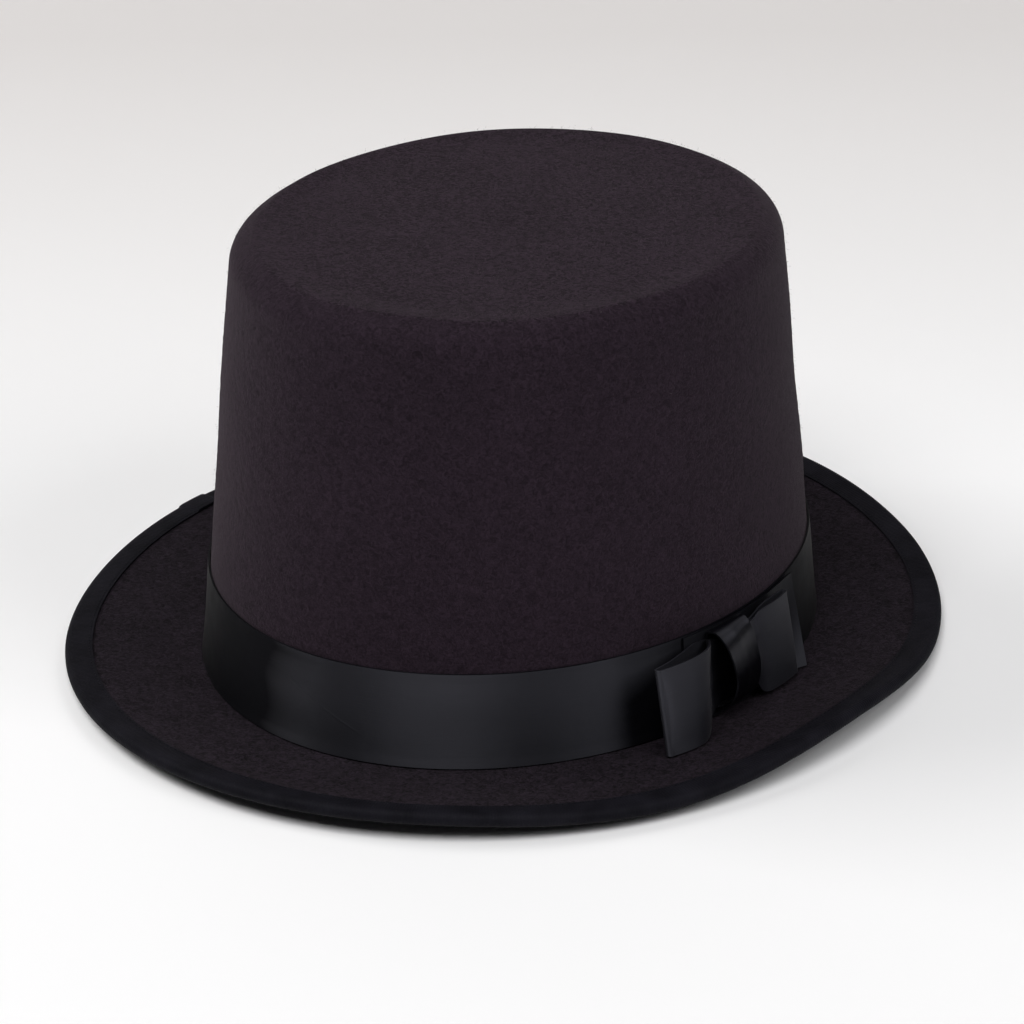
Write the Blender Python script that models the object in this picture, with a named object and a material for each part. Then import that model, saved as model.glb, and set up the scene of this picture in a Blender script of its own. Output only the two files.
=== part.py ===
"""A felt top hat with a satin band and bow, built as the pieces a hatter sews together.

Metres, +Z up, standing on z = 0 on the underside of its brim.  The wearer's front is -Y and the
wearer's left is +X, the side that carries the bow.
"""
import math

import bmesh
import bpy
from mathutils import Matrix

MM = 0.001

# --- driving dimensions -------------------------------------------------------------------------
ROOT_HALF_LENGTH = 103.0 * MM      # outer face of the crown where it meets the brim, front to back
ROOT_HALF_WIDTH = 88.5 * MM        # the same, side to side
TIP_LENGTH_RATIO = 0.85            # tip oval over root oval, front to back
TIP_WIDTH_RATIO = 0.885            # tip oval over root oval, side to side
CROWN_HEIGHT = 132.0 * MM          # brim's top face to the tip
CROWN_EDGE_RADIUS = 7.5 * MM       # soft edge pressed between side and tip
GAP = 0.2 * MM                     # clearance left between neighbouring layers

FELT = 1.4 * MM
STIFFENER = 0.5 * MM
LINING = 0.4 * MM
LEATHER = 0.8 * MM
RIBBON = 0.6 * MM

BRIM_FELT = 1.0 * MM               # each of the brim's two felts
BRIM_STIFFENER = 0.4 * MM
BRIM_END = 39.5 * MM               # brim width along its surface, at the front and the back
BRIM_SIDE = 43.0 * MM
BRIM_SHIFT = -2.5 * MM             # the brim's outline sits this far off the crown, side to side
BRIM_ROOT_TILT = math.radians(6.0)
BRIM_CURL_START = 1.2              # a higher power keeps the curl nearer the rim
BRIM_STEPS = 40                    # steps used to follow the curl
# Slope at the rim, in degrees, at equal turns round the hat from the bow's side through the back.
RIM_TILTS = (21.0, 0.0, 3.0, 16.0, 8.0, -2.0, -2.0, -5.0, 2.0, 11.0, 14.0, 4.0)

BINDING_WIDTH = 8.5 * MM           # grosgrain seen on each face of the rim
BINDING = 0.5 * MM
WIRE_RADIUS = 0.65 * MM

BAND_WIDTH = 29.0 * MM
BAND_LIFT = 0.6 * MM               # band's lower edge above the brim

SWEATBAND_WIDTH = 33.0 * MM
SWEATBAND_LIFT = -0.2 * MM         # its lower edge against the brim's top face
REED_RADIUS = 0.75 * MM            # cord rolled along the sweatband's lower edge
LINING_LIFT = 22.0 * MM            # side lining starts behind the sweatband

BOW_CENTRE = 9.3 * MM              # knot's distance in front of the hat's side
KNOT_WIDTH = 14.7 * MM
KNOT_LEAN = 2.5 * MM                # how far the knot's top leans to the front
KNOT_LEAN_FROM = 14.0 * MM
KNOT_LEAN_TO = 27.0 * MM
KNOT_TWIST = 0.28                  # how much prouder the knot's front edge stands than its middle
LOOP_RIBBON = 0.5 * MM
PINCH_LOW = 5.9 * MM               # the loops' lower and upper edges where the knot gathers them
PINCH_HIGH = 26.2 * MM
OPEN_LOW = 1.7 * MM                # and where they are spread out
OPEN_HIGH = 28.8 * MM

# The loops' runs in mm, out from the knot on the inner layer and back on the outer one: along and
# stand of the upper edge, along and stand of the lower edge, and how far the ribbon is spread.
FRONT_LOOP = (
    (0.8, 2.5, 0.8, 2.5, 0.0), (8.0, 2.5, 8.0, 2.5, 0.0), (14.0, 3.6, 14.0, 3.8, 0.6),
    (20.0, 5.6, 20.0, 6.4, 1.0), (27.0, 8.4, 27.0, 9.6, 1.0), (33.0, 10.9, 32.5, 12.1, 1.0),
    (38.0, 12.7, 37.2, 13.7, 1.0), (38.8, 13.2, 38.0, 14.2, 1.0), (38.9, 13.9, 38.1, 14.9, 1.0),
    (38.3, 14.4, 37.5, 15.4, 1.0), (37.4, 14.3, 36.6, 15.3, 1.0), (31.0, 13.0, 30.5, 14.3, 1.0),
    (24.0, 11.3, 24.5, 13.0, 1.0), (17.0, 9.3, 19.5, 10.9, 1.0), (14.6, 7.8, 16.4, 8.6, 1.0),
    (13.7, 5.6, 15.0, 6.0, 0.9), (12.6, 4.2, 13.4, 4.3, 0.6), (8.0, 3.6, 8.0, 3.6, 0.0),
    (0.8, 3.6, 0.8, 3.6, 0.0))
BACK_LOOP = (
    (0.8, 2.5, 0.8, 2.5, 0.0), (8.0, 2.5, 8.0, 2.5, 0.0), (14.0, 2.7, 14.0, 2.9, 0.8),
    (19.5, 3.0, 20.5, 3.6, 1.0), (24.8, 3.5, 27.6, 4.8, 1.0), (25.6, 3.8, 28.4, 5.1, 1.0),
    (25.9, 4.4, 28.7, 5.7, 1.0), (25.5, 4.95, 28.0, 6.25, 1.0), (24.6, 5.2, 26.8, 6.4, 1.0),
    (19.5, 5.1, 19.5, 6.0, 1.0), (13.0, 4.6, 13.6, 5.3, 1.0), (10.0, 4.1, 10.4, 4.4, 0.8),
    (8.0, 3.6, 8.0, 3.6, 0.0), (0.8, 3.6, 0.8, 3.6, 0.0))
# The knot's wrap in mm: stand and height of its middle line, up behind the loops and over them.
KNOT = ((1.5, 20.0), (1.5, 27.2), (2.1, 28.5), (3.8, 28.7), (5.6, 27.6), (6.9, 25.6), (7.6, 22.8),
        (8.0, 19.0), (8.1, 14.5), (7.4, 9.6), (5.6, 5.6), (3.6, 3.4), (2.1, 3.0), (1.5, 4.3),
        (1.5, 8.0))
# The under ribbon's run in mm from its front end to its back one, whose lower corner curls away from
# the band: along and stand of the upper edge, then along, stand and height of the lower edge.
UNDER_RIBBON = (
    (-18.0, 0.45, -18.0, 0.45, 0.2), (-13.5, 0.45, -13.5, 0.45, 0.2), (-9.0, 0.45, -9.0, 0.45, 0.2),
    (-4.5, 0.45, -4.5, 0.45, 0.2), (0.0, 0.45, 0.0, 0.45, 0.2), (4.5, 0.45, 4.5, 0.45, 0.2),
    (9.0, 0.45, 9.0, 0.45, 0.2), (13.5, 0.45, 13.5, 0.45, 0.2), (18.0, 0.45, 18.0, 0.45, 0.2),
    (22.5, 0.45, 22.0, 0.7, 0.25), (27.0, 0.5, 26.0, 1.7, 0.4), (31.0, 0.6, 29.5, 3.2, 0.6),
    (34.0, 0.75, 32.0, 4.8, 0.8), (36.5, 1.0, 34.2, 6.5, 1.0))

SEGMENTS = 64                      # facets round the oval
EDGE_STEPS = 4                     # facets over the crown's soft edge
RIM_STEPS = 4                      # facets round the bound rim
LAYER_SHARES = (0.0, 0.4, 0.66, 0.78, 0.89, 1.0)    # where a brim layer's section is sampled
SMOOTH_ANGLE = math.radians(40.0)

# --- derived levels -----------------------------------------------------------------------------
BRIM_THICKNESS = 2.0 * BRIM_FELT + BRIM_STIFFENER + 2.0 * GAP
ROOT_Z = BRIM_THICKNESS            # the brim's underside lies on the floor round the head opening
TIP_Z = ROOT_Z + CROWN_HEIGHT
WALL_TOP_Z = TIP_Z - CROWN_EDGE_RADIUS
RIM_RADIUS = 0.5 * BRIM_THICKNESS + GAP + BINDING

STIFFENER_DEPTH = FELT + GAP
LINING_DEPTH = STIFFENER_DEPTH + STIFFENER + GAP
SWEATBAND_DEPTH = LINING_DEPTH + LINING + GAP

ANGLES = [2.0 * math.pi * i / SEGMENTS for i in range(SEGMENTS)]


# --- the crown's oval ---------------------------------------------------------------------------
def oval(theta, z, outward):
    """A point on the crown's oval at height z, moved outward along the oval's own normal."""
    share = (z - ROOT_Z) / CROWN_HEIGHT
    half_x = ROOT_HALF_WIDTH * (1.0 + (TIP_WIDTH_RATIO - 1.0) * share)
    half_y = ROOT_HALF_LENGTH * (1.0 + (TIP_LENGTH_RATIO - 1.0) * share)
    normal_x = math.cos(theta) * half_y
    normal_y = math.sin(theta) * half_x
    size = math.hypot(normal_x, normal_y)
    x = half_x * math.cos(theta) + outward * normal_x / size
    y = half_y * math.sin(theta) + outward * normal_y / size
    return (x, y, z)


def band_face_x(y, z):
    """The x of the hatband's outer face on the bow's side."""
    share = (z - ROOT_Z) / CROWN_HEIGHT
    stand = GAP + RIBBON
    half_x = ROOT_HALF_WIDTH * (1.0 + (TIP_WIDTH_RATIO - 1.0) * share) + stand
    half_y = ROOT_HALF_LENGTH * (1.0 + (TIP_LENGTH_RATIO - 1.0) * share) + stand
    return half_x * math.sqrt(1.0 - (y / half_y) ** 2)


# --- the brim's curled surface ------------------------------------------------------------------
def brim_width(theta):
    side = math.cos(theta) ** 2
    return BRIM_SIDE * side + BRIM_END * (1.0 - side) + BRIM_SHIFT * math.cos(theta)


def rim_tilt(theta):
    """Slope at the rim, carried smoothly between the angles listed in RIM_TILTS."""
    count = len(RIM_TILTS)
    at = theta / (2.0 * math.pi) * count
    first = math.floor(at)
    part = at - first
    before, here, after, beyond = [RIM_TILTS[(first + k) % count] for k in (-1, 0, 1, 2)]
    start = 0.5 * (after - before)
    end = 0.5 * (beyond - here)
    square = part * part
    cube = square * part
    tilt = (here * (2.0 * cube - 3.0 * square + 1.0) + start * (cube - 2.0 * square + part)
            + after * (3.0 * square - 2.0 * cube) + end * (cube - square))
    return math.radians(tilt)


def brim_tilt(rim, share):
    """Slope of the brim's section at a share of its width, for a slope at the rim."""
    return BRIM_ROOT_TILT + (rim - BRIM_ROOT_TILT) * share ** BRIM_CURL_START


def brim_point(theta, along, depth):
    """A point a way along the brim from the crown and a depth below its top face."""
    if along <= 0.0:
        return oval_at_root(theta, along, ROOT_Z - depth)
    width = brim_width(theta)
    rim = rim_tilt(theta)
    step = along / BRIM_STEPS
    reach = 0.0
    rise = 0.0
    for i in range(BRIM_STEPS):
        tilt = brim_tilt(rim, (i + 0.5) * step / width)
        reach += math.cos(tilt) * step
        rise += math.sin(tilt) * step
    tilt = brim_tilt(rim, along / width) * min(1.0, along / FELT)
    reach += math.sin(tilt) * depth
    return oval_at_root(theta, reach, ROOT_Z + rise - math.cos(tilt) * depth)


def oval_at_root(theta, outward, z):
    x, y, _ = oval(theta, ROOT_Z, outward)
    return (x, y, z)


# --- building helpers ---------------------------------------------------------------------------
def make_material(name, colour, roughness, sheen):
    material = bpy.data.materials.new(name)
    material.use_nodes = True
    shader = material.node_tree.nodes["Principled BSDF"]
    shader.inputs["Base Color"].default_value = (colour[0], colour[1], colour[2], 1.0)
    shader.inputs["Roughness"].default_value = roughness
    shader.inputs["Sheen Weight"].default_value = sheen
    material.diffuse_color = (colour[0], colour[1], colour[2], 1.0)
    return material


def finish_mesh(name, bm, material, hat):
    bmesh.ops.recalc_face_normals(bm, faces=bm.faces)
    for face in bm.faces:
        face.smooth = True
    mesh = bpy.data.meshes.new(name)
    bm.to_mesh(mesh)
    bm.free()
    mesh.set_sharp_from_angle(angle=SMOOTH_ANGLE)
    mesh.materials.append(material)
    body = bpy.data.objects.new(name, mesh)
    hat.objects.link(body)
    return body


def loft_ring(name, section, material, hat):
    """A closed ring lofted through one closed section for each angle round the hat."""
    bm = bmesh.new()
    rings = [[bm.verts.new(point) for point in section(theta)] for theta in ANGLES]
    count = len(rings[0])
    for i in range(SEGMENTS):
        here = rings[i]
        after = rings[(i + 1) % SEGMENTS]
        for j in range(count):
            k = (j + 1) % count
            bm.faces.new((here[j], after[j], after[k], here[k]))
    return finish_mesh(name, bm, material, hat)


def loft_cap(name, section, top, bottom, material, hat):
    """A closed cap lofted through open sections that run from a top pole to a bottom pole."""
    bm = bmesh.new()
    pole_top = bm.verts.new(top)
    pole_bottom = bm.verts.new(bottom)
    rings = [[bm.verts.new(point) for point in section(theta)] for theta in ANGLES]
    count = len(rings[0])
    for i in range(SEGMENTS):
        here = rings[i]
        after = rings[(i + 1) % SEGMENTS]
        bm.faces.new((pole_top, after[0], here[0]))
        bm.faces.new((pole_bottom, here[-1], after[-1]))
        for j in range(count - 1):
            bm.faces.new((here[j], after[j], after[j + 1], here[j + 1]))
    return finish_mesh(name, bm, material, hat)


def loft_strip(name, sections, material, hat):
    """A solid ribbon lofted through four-cornered sections, closed at both ends."""
    bm = bmesh.new()
    rows = [[bm.verts.new(point) for point in section] for section in sections]
    for here, after in zip(rows[:-1], rows[1:]):
        for j in range(4):
            k = (j + 1) % 4
            bm.faces.new((here[j], after[j], after[k], here[k]))
    bm.faces.new(rows[0])
    bm.faces.new(list(reversed(rows[-1])))
    return finish_mesh(name, bm, material, hat)


def bevelled_loop(name, points, radius, material, hat):
    """A closed round cord through the given points."""
    curve = bpy.data.curves.new(name, "CURVE")
    curve.dimensions = "3D"
    curve.bevel_depth = radius
    curve.bevel_resolution = 1
    curve.resolution_u = 1
    curve.render_resolution_u = 0
    spline = curve.splines.new("POLY")
    spline.points.add(len(points) - 1)
    for slot, point in zip(spline.points, points):
        slot.co = (point[0], point[1], point[2], 1.0)
    spline.use_cyclic_u = True
    spline.use_smooth = True
    curve.materials.append(material)
    body = bpy.data.objects.new(name, curve)
    hat.objects.link(body)
    return body


# --- crown --------------------------------------------------------------------------------------
def crown_layer_outer(theta, depth, foot_z):
    """Outer face of a crown layer, from the flat tip's edge over the soft edge and down the side."""
    points = []
    radius = CROWN_EDGE_RADIUS - depth
    for i in range(EDGE_STEPS + 1):
        turn = 0.5 * math.pi * (1.0 - i / EDGE_STEPS)
        outward = radius * math.cos(turn) - CROWN_EDGE_RADIUS
        x, y, _ = oval(theta, WALL_TOP_Z + CROWN_EDGE_RADIUS * math.sin(turn), outward)
        points.append((x, y, WALL_TOP_Z + radius * math.sin(turn)))
    points.append(oval(theta, foot_z, -depth))
    return points


def build_crown(hat):
    felt = make_material("felt_crown", (0.020, 0.016, 0.020), 0.95, 0.4)
    buckram = make_material("buckram", (0.42, 0.38, 0.30), 0.9, 0.0)
    satin = make_material("lining_satin", (0.030, 0.028, 0.033), 0.4, 0.2)

    def felt_section(theta):
        outside = crown_layer_outer(theta, 0.0, ROOT_Z + GAP)
        inside = crown_layer_outer(theta, FELT, ROOT_Z + GAP)
        return outside + list(reversed(inside))

    loft_cap("crown_felt", felt_section, (0.0, 0.0, TIP_Z), (0.0, 0.0, TIP_Z - FELT), felt, hat)

    def side_stiffener_section(theta):
        outside = STIFFENER_DEPTH
        inside = STIFFENER_DEPTH + STIFFENER
        foot = ROOT_Z + GAP
        return [oval(theta, WALL_TOP_Z, -outside), oval(theta, foot, -outside),
                oval(theta, foot, -inside), oval(theta, WALL_TOP_Z, -inside)]

    loft_ring("crown_side_stiffener", side_stiffener_section, buckram, hat)

    def tip_stiffener_section(theta):
        upper = TIP_Z - STIFFENER_DEPTH
        lower = upper - STIFFENER
        x, y, _ = oval(theta, TIP_Z, -CROWN_EDGE_RADIUS - GAP)
        return [(x, y, upper), (x, y, lower)]

    tip_upper = TIP_Z - STIFFENER_DEPTH
    loft_cap("crown_tip_stiffener", tip_stiffener_section, (0.0, 0.0, tip_upper),
             (0.0, 0.0, tip_upper - STIFFENER), buckram, hat)

    def lining_tip_section(theta):
        outside = crown_layer_outer(theta, LINING_DEPTH, WALL_TOP_Z - LINING)
        inside = crown_layer_outer(theta, LINING_DEPTH + LINING, WALL_TOP_Z - LINING)
        return outside + list(reversed(inside))

    loft_cap("lining_tip", lining_tip_section, (0.0, 0.0, TIP_Z - LINING_DEPTH),
             (0.0, 0.0, TIP_Z - LINING_DEPTH - LINING), satin, hat)

    def lining_side_section(theta):
        head = WALL_TOP_Z - LINING - GAP
        foot = ROOT_Z + LINING_LIFT
        outside = LINING_DEPTH
        inside = LINING_DEPTH + LINING
        return [oval(theta, head, -outside), oval(theta, foot, -outside),
                oval(theta, foot, -inside), oval(theta, head, -inside)]

    loft_ring("lining_side", lining_side_section, satin, hat)


# --- sweatband ----------------------------------------------------------------------------------
def build_sweatband(hat):
    leather = make_material("sweatband_leather", (0.035, 0.028, 0.026), 0.55, 0.0)
    reed = make_material("reed_cover", (0.020, 0.018, 0.020), 0.7, 0.0)

    def band_section(theta):
        foot = ROOT_Z + SWEATBAND_LIFT
        head = ROOT_Z + SWEATBAND_WIDTH
        outside = SWEATBAND_DEPTH
        inside = SWEATBAND_DEPTH + LEATHER
        return [oval(theta, head, -outside), oval(theta, foot, -outside),
                oval(theta, foot, -inside), oval(theta, head, -inside)]

    loft_ring("sweatband", band_section, leather, hat)

    centre_depth = SWEATBAND_DEPTH + 0.5 * LEATHER
    centre_z = ROOT_Z + SWEATBAND_LIFT - GAP - REED_RADIUS
    points = [oval_at_root(theta, -centre_depth, centre_z) for theta in ANGLES]
    bevelled_loop("sweatband_reed", points, REED_RADIUS, reed, hat)


# --- brim ---------------------------------------------------------------------------------------
def build_brim(hat):
    felt = make_material("felt_brim", (0.018, 0.015, 0.018), 0.95, 0.4)
    felt_under = make_material("felt_brim_under", (0.018, 0.015, 0.018), 0.95, 0.4)
    stiff = make_material("brim_stiffener_cloth", (0.42, 0.38, 0.30), 0.9, 0.0)
    steel = make_material("brim_wire_steel", (0.55, 0.55, 0.57), 0.35, 0.0)
    ribbed = make_material("binding_grosgrain", (0.016, 0.015, 0.020), 0.75, 0.2)
    edge_back = 2.0 * WIRE_RADIUS + 2.0 * GAP + BINDING

    def layer_section(top, thickness, inner):
        def section(theta):
            last = brim_width(theta) - edge_back - GAP
            steps = [inner] + [last * share for share in LAYER_SHARES]
            upper = [brim_point(theta, along, top) for along in steps]
            lower = [brim_point(theta, along, top + thickness) for along in steps]
            return upper + list(reversed(lower))

        return section

    middle = BRIM_FELT + GAP
    under = middle + BRIM_STIFFENER + GAP
    inner = REED_RADIUS + GAP - SWEATBAND_DEPTH - 0.5 * LEATHER
    loft_ring("brim_top_felt", layer_section(0.0, BRIM_FELT, inner), felt, hat)
    loft_ring("brim_stiffener", layer_section(middle, BRIM_STIFFENER, inner), stiff, hat)
    loft_ring("brim_under_felt", layer_section(under, BRIM_FELT, inner), felt_under, hat)

    half = 0.5 * BRIM_THICKNESS
    wire = [brim_point(theta, brim_width(theta) - BINDING - GAP - WIRE_RADIUS, half)
            for theta in ANGLES]
    bevelled_loop("brim_wire", wire, WIRE_RADIUS, steel, hat)

    def binding_section(theta):
        width = brim_width(theta)
        start = width - BINDING_WIDTH
        turn_at = width - RIM_RADIUS
        points = []
        for radius, forward in ((RIM_RADIUS, True), (RIM_RADIUS - BINDING, False)):
            face = []
            for share in (0.0, 0.5):
                face.append(brim_point(theta, start + (turn_at - start) * share, half - radius))
            for i in range(RIM_STEPS + 1):
                turn = math.pi * i / RIM_STEPS
                face.append(brim_point(theta, turn_at + radius * math.sin(turn),
                                       half - radius * math.cos(turn)))
            for share in (0.5, 0.0):
                face.append(brim_point(theta, start + (turn_at - start) * share, half + radius))
            points += face if forward else list(reversed(face))
        return points

    loft_ring("brim_binding", binding_section, ribbed, hat)


# --- hatband and bow ----------------------------------------------------------------------------
def build_band(hat):
    satin = make_material("band_satin", (0.012, 0.012, 0.016), 0.38, 0.2)

    def band_section(theta):
        foot = ROOT_Z + BAND_LIFT
        head = foot + BAND_WIDTH
        outside = GAP + RIBBON
        return [oval(theta, head, outside), oval(theta, foot, outside),
                oval(theta, foot, GAP), oval(theta, head, GAP)]

    loft_ring("hatband", band_section, satin, hat)


def bow_point(along, stand, height):
    """A point of the bow: along towards the front from the knot, proud of the band, above the brim."""
    y = -BOW_CENTRE - along
    z = ROOT_Z + BAND_LIFT + height
    return (band_face_x(y, z) + stand, y, z)


def loop_section(stations, i, side):
    """The ribbon's four corners at one station of a loop's run."""
    before = stations[max(0, i - 1)]
    after = stations[min(len(stations) - 1, i + 1)]
    run_along = after[0] - before[0]
    run_stand = after[1] - before[1]
    size = math.hypot(run_along, run_stand)
    half = 0.5 * LOOP_RIBBON
    shift_along = -run_stand / size * half
    shift_stand = run_along / size * half
    top_along, top_stand, low_along, low_stand, spread = stations[i]
    low = PINCH_LOW + (OPEN_LOW - PINCH_LOW) * spread
    high = PINCH_HIGH + (OPEN_HIGH - PINCH_HIGH) * spread
    corners = []
    for along, stand, height, face in ((low_along, low_stand, low, 1.0),
                                       (top_along, top_stand, high, 1.0),
                                       (top_along, top_stand, high, -1.0),
                                       (low_along, low_stand, low, -1.0)):
        corners.append(bow_point(side * (along * MM + face * shift_along),
                                 stand * MM + face * shift_stand, height))
    return corners


def build_loop(name, side, stations, material, hat):
    """One bow loop: out from the knot, round a flat fold, and back over itself to the knot."""
    sections = [loop_section(stations, i, side) for i in range(len(stations))]
    return loft_strip(name, sections, material, hat)


def knot_point(edge, stand, height):
    """A point of the knot, whose front edge stands prouder than its back edge."""
    behind = KNOT[0][0] * MM
    twist = 1.0 + KNOT_TWIST * edge
    lean = KNOT_LEAN * min(1.0, max(0.0, (height - KNOT_LEAN_FROM) / (KNOT_LEAN_TO - KNOT_LEAN_FROM)))
    return bow_point(0.5 * KNOT_WIDTH * edge + lean, behind + (stand - behind) * twist, height)


def build_knot(material, hat):
    """The knot: a ribbon wrapped over the gathered middle of the bow, tucked in behind it."""
    half = 0.5 * LOOP_RIBBON
    last = len(KNOT) - 1
    sections = []
    for i, (stand, height) in enumerate(KNOT):
        before = KNOT[max(0, i - 1)]
        after = KNOT[min(last, i + 1)]
        run_stand = after[0] - before[0]
        run_height = after[1] - before[1]
        size = math.hypot(run_stand, run_height)
        shift_stand = -run_height / size * half
        shift_height = run_stand / size * half
        corners = []
        for edge, face in ((-1.0, 1.0), (1.0, 1.0), (1.0, -1.0), (-1.0, -1.0)):
            corners.append(knot_point(edge, stand * MM + face * shift_stand,
                                      height * MM + face * shift_height))
        sections.append(corners)
    return loft_strip("bow_knot", sections, material, hat)


def under_ribbon_section(i):
    before = UNDER_RIBBON[max(0, i - 1)]
    after = UNDER_RIBBON[min(len(UNDER_RIBBON) - 1, i + 1)]
    top_along, top_stand, low_along, low_stand, low = UNDER_RIBBON[i]
    half = 0.5 * LOOP_RIBBON
    corners = []
    for edge, along, stand, height, face in ((2, low_along, low_stand, low * MM, 1.0),
                                             (0, top_along, top_stand, BAND_WIDTH - GAP, 1.0),
                                             (0, top_along, top_stand, BAND_WIDTH - GAP, -1.0),
                                             (2, low_along, low_stand, low * MM, -1.0)):
        run_along = after[edge] - before[edge]
        run_stand = after[edge + 1] - before[edge + 1]
        size = math.hypot(run_along, run_stand)
        corners.append(bow_point(-(along * MM - face * run_stand / size * half),
                                 stand * MM + face * run_along / size * half, height))
    return corners


def build_bow(hat):
    satin = make_material("bow_satin", (0.013, 0.013, 0.017), 0.36, 0.2)
    sections = [under_ribbon_section(i) for i in range(len(UNDER_RIBBON))]
    loft_strip("bow_under_ribbon", sections, satin, hat)
    build_loop("bow_loop_front", 1.0, FRONT_LOOP, satin, hat)
    build_loop("bow_loop_back", -1.0, BACK_LOOP, satin, hat)
    build_knot(satin, hat)


def centre_on_rim(hat):
    """Moves the whole hat so that the middle of its rim's bounding box is over the origin."""
    rim = [vertex.co for vertex in hat.objects["brim_binding"].data.vertices]
    middle_x = 0.5 * (min(point.x for point in rim) + max(point.x for point in rim))
    middle_y = 0.5 * (min(point.y for point in rim) + max(point.y for point in rim))
    for piece in hat.objects:
        piece.data.transform(Matrix.Translation((-middle_x, -middle_y, 0.0)))


def main():
    for old in list(bpy.data.objects):
        bpy.data.objects.remove(old, do_unlink=True)
    hat = bpy.data.collections.new("top_hat")
    bpy.context.scene.collection.children.link(hat)
    build_crown(hat)
    build_sweatband(hat)
    build_brim(hat)
    build_band(hat)
    build_bow(hat)
    centre_on_rim(hat)


main()
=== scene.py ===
"""Looks for the felt top hat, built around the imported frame."""
import math

import bmesh
import bpy
import numpy as np
from mathutils import Matrix, Vector


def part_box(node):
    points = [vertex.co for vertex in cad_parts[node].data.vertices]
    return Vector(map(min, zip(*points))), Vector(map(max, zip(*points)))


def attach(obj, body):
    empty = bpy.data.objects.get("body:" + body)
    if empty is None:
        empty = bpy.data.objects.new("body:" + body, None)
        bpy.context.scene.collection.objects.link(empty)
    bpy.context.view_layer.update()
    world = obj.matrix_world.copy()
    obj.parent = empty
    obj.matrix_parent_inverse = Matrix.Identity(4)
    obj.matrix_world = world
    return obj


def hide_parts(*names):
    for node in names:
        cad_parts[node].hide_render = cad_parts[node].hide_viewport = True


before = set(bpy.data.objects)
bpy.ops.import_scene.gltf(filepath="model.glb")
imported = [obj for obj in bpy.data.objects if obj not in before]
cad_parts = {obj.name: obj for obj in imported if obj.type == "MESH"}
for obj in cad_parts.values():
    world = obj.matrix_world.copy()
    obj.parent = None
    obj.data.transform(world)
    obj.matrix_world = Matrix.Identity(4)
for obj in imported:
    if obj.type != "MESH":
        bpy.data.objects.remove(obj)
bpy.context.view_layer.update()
MM = 0.001

# --- the hat's measures, taken from the frame ---------------------------------------------------
crown_low, crown_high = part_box("crown_felt")
band_low, band_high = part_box("hatband")
sweat_low, sweat_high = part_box("sweatband")

GAP = 0.2 * MM
FELT = 1.4 * MM
BRIM_FELT = 1.0 * MM
BRIM_THICKNESS = 2.8 * MM
CENTRE = 0.5 * (crown_low + crown_high)
HALF_X = 0.5 * (crown_high.x - crown_low.x)
HALF_Y = 0.5 * (crown_high.y - crown_low.y)
ROOT_Z = crown_low.z - GAP
TIP_Z = crown_high.z
HEIGHT = TIP_Z - ROOT_Z
TIP_X_RATIO = 0.885
TIP_Y_RATIO = 0.85
EDGE = 7.5 * MM
# The brim's measures below, down to its rim slopes, are the rounded result of a least-squares fit to
# points read off the photo's outline. Of the slopes, the first, second and eighth were then changed.
# They are in degrees, at equal turns from the bow's side through the back.
BRIM_SIDE = 43.0 * MM
BRIM_END = 39.5 * MM
BRIM_SHIFT = -2.5 * MM
ROOT_TILT = math.radians(6.0)
CURL_START = 1.2
RIM_TILTS = (21.0, 0.0, 3.0, 16.0, 8.0, -2.0, -2.0, -5.0, 2.0, 11.0, 14.0, 4.0)
BINDING_WIDTH = 8.5 * MM
BINDING = 0.5 * MM
BAND_FOOT = band_low.z
BAND_WIDTH = band_high.z - band_low.z
RIBBON = 0.6 * MM


# --- ovals and brim surface ---------------------------------------------------------------------
def oval(theta, z, outward):
    """Points on the crown's oval at height z, moved outward along its normal."""
    share = (z - ROOT_Z) / HEIGHT
    half_x = HALF_X * (1.0 + (TIP_X_RATIO - 1.0) * share)
    half_y = HALF_Y * (1.0 + (TIP_Y_RATIO - 1.0) * share)
    nx = np.cos(theta) * half_y
    ny = np.sin(theta) * half_x
    size = np.hypot(nx, ny)
    return np.stack([half_x * np.cos(theta) + outward * nx / size,
                     half_y * np.sin(theta) + outward * ny / size,
                     z + 0.0 * theta], axis=-1)


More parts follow.
